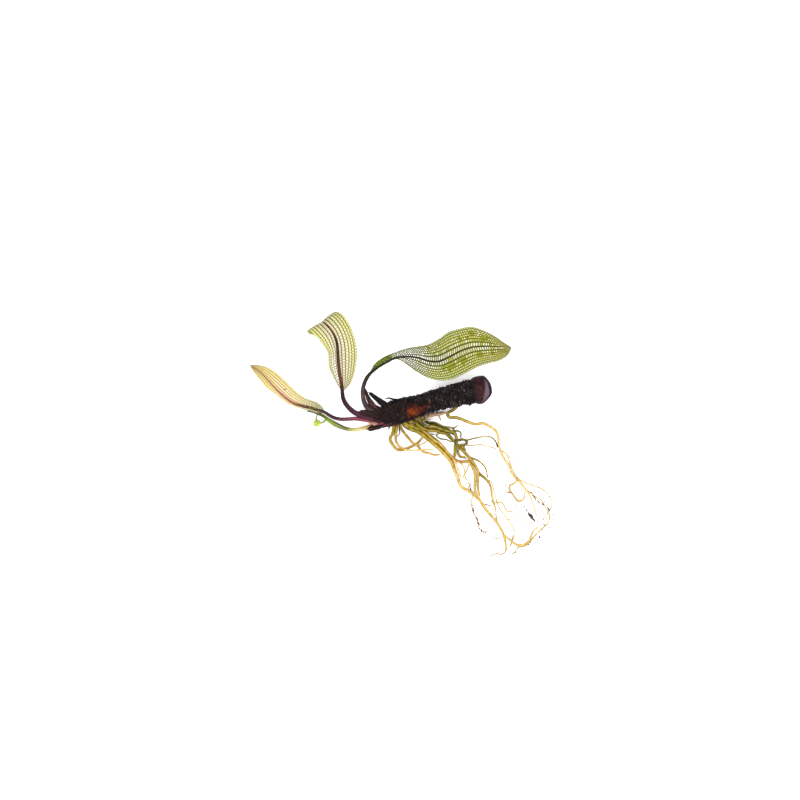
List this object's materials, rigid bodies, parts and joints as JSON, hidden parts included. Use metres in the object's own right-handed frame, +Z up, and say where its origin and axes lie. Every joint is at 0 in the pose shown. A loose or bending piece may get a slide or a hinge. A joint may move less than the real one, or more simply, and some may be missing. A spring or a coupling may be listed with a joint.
{
  "type": "madagascar lace plant",
  "caption": "Uprooted aquarium lace plant lying down: a dark bark-covered rhizome with stalked lattice leaves, a young shoot and a long trail of pale roots.",
  "frame": {"origin": "on the surface that the plant lies on, under the middle of its bounding box", "axes": "+X from the leaf tips at the crown side towards the old end of the rhizome, +Y towards the large leaf and away from the roots, +Z up"},
  "size_m": [0.2406, 0.1966, 0.0322],
  "materials": {
    "bark": "near-black ringed bark with a rust-orange bare patch and a smooth red-brown end",
    "dead_sheath": "dark brown dried leaf bases with red-brown streaks",
    "purple_stalk": "smooth purple to maroon leaf stalk, pinker at its base",
    "dark_stalk": "smooth grey-brown leaf stalk, dark olive towards the blade",
    "green_lace": "yellow-green lattice leaf with olive veins and some filled cells",
    "pale_lace": "cream-yellow lattice leaf with a brown midrib",
    "blush_lace": "cream leaf with golden margins and a pink blush along the midrib",
    "fresh_green": "smooth green shoot with a yellow base",
    "bud_green": "bright yellow-green bud",
    "olive_root": "smooth damp olive-brown root",
    "gold_root": "smooth damp golden root",
    "pale_root": "smooth damp cream-yellow root"
  },
  "bodies": {
    "root": {"rhizome": "bark", "large_leaf_stalk": "dark_stalk", "middle_leaf_stalk": "purple_stalk", "left_leaf_stalk": "purple_stalk", "young_shoot": "fresh_green", "stalk_sheath": "dead_sheath", "blunt_stub": "dead_sheath", "broad_sheath": "dead_sheath", "frayed_stub": "dead_sheath", "curled_thorn": "dead_sheath", "large_leaf_blade": "green_lace", "middle_leaf_blade": "pale_lace", "left_leaf_blade": "blush_lace", "bud": "bud_green", "root_outer_loop": "olive_root", "root_diagonal": "olive_root", "root_main_lower": "gold_root", "root_main_upper": "gold_root", "root_middle": "gold_root", "root_upright": "olive_root", "root_upright_branch": "olive_root", "root_olive": "gold_root", "root_knot": "olive_root", "root_long_dark": "olive_root", "root_spur": "olive_root", "root_dark_loop": "olive_root", "root_thin_dark": "olive_root", "root_whip": "olive_root", "root_low_arc": "gold_root", "root_right": "pale_root", "root_right_twin": "pale_root", "root_ring": "gold_root", "root_ring_tail": "gold_root", "root_specked": "pale_root", "root_bottom": "gold_root", "root_pale_twin": "pale_root", "root_curled_tip": "pale_root", "root_speckled": "pale_root", "root_pale_wave": "pale_root", "root_s_curve": "gold_root", "root_pale_link": "pale_root", "root_inner_loop": "gold_root", "root_small_loop": "gold_root", "root_pink_strand": "pale_root", "root_short_link": "gold_root", "root_left_tip": "pale_root"}
  },
  "joints": []
}
